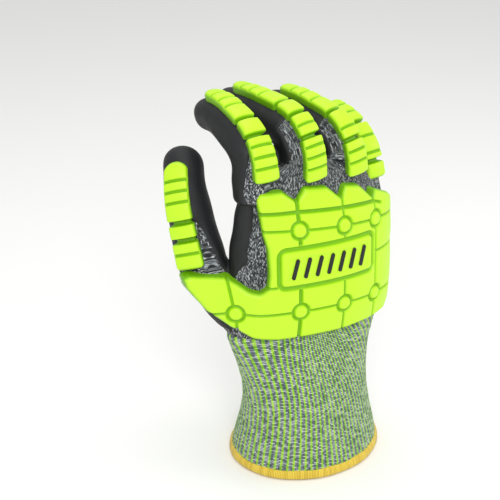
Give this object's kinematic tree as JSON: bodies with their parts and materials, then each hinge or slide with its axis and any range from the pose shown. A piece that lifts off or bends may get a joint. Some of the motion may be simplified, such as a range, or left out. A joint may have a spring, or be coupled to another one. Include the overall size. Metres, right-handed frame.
{
  "type": "impact glove",
  "caption": "Knit work glove for a right hand with curled fingers, coated palm, ribbed cuff and moulded impact guards on the back of the hand and fingers.",
  "frame": {"origin": "centre of the opening of the cuff, at the edge of its hem", "axes": "+Z from the cuff towards the fingers, -Y is the back of the hand, +Y the palm side to which the fingers curl, -X the thumb side, +X the little finger side"},
  "size_m": [0.1215, 0.0954, 0.2042],
  "materials": {
    "melange_knit": "grey melange knit",
    "sandy_coating": "matt sandy nitrile",
    "moulded_guard": "satin moulded thermoplastic rubber",
    "rib_knit": "green and grey rib knit",
    "overlock_thread": "yellow thread"
  },
  "bodies": {
    "root": {"hem_band": "overlock_thread", "rib_cuff": "rib_knit", "hand_body": "melange_knit", "index_stall": "melange_knit", "middle_stall": "melange_knit", "ring_stall": "melange_knit", "little_stall": "melange_knit", "thumb_stall": "melange_knit", "palm_coating": "sandy_coating", "back_guard": "moulded_guard", "index_guard": "moulded_guard", "middle_guard": "moulded_guard", "ring_guard": "moulded_guard", "little_guard": "moulded_guard", "thumb_guard": "moulded_guard"}
  },
  "joints": []
}
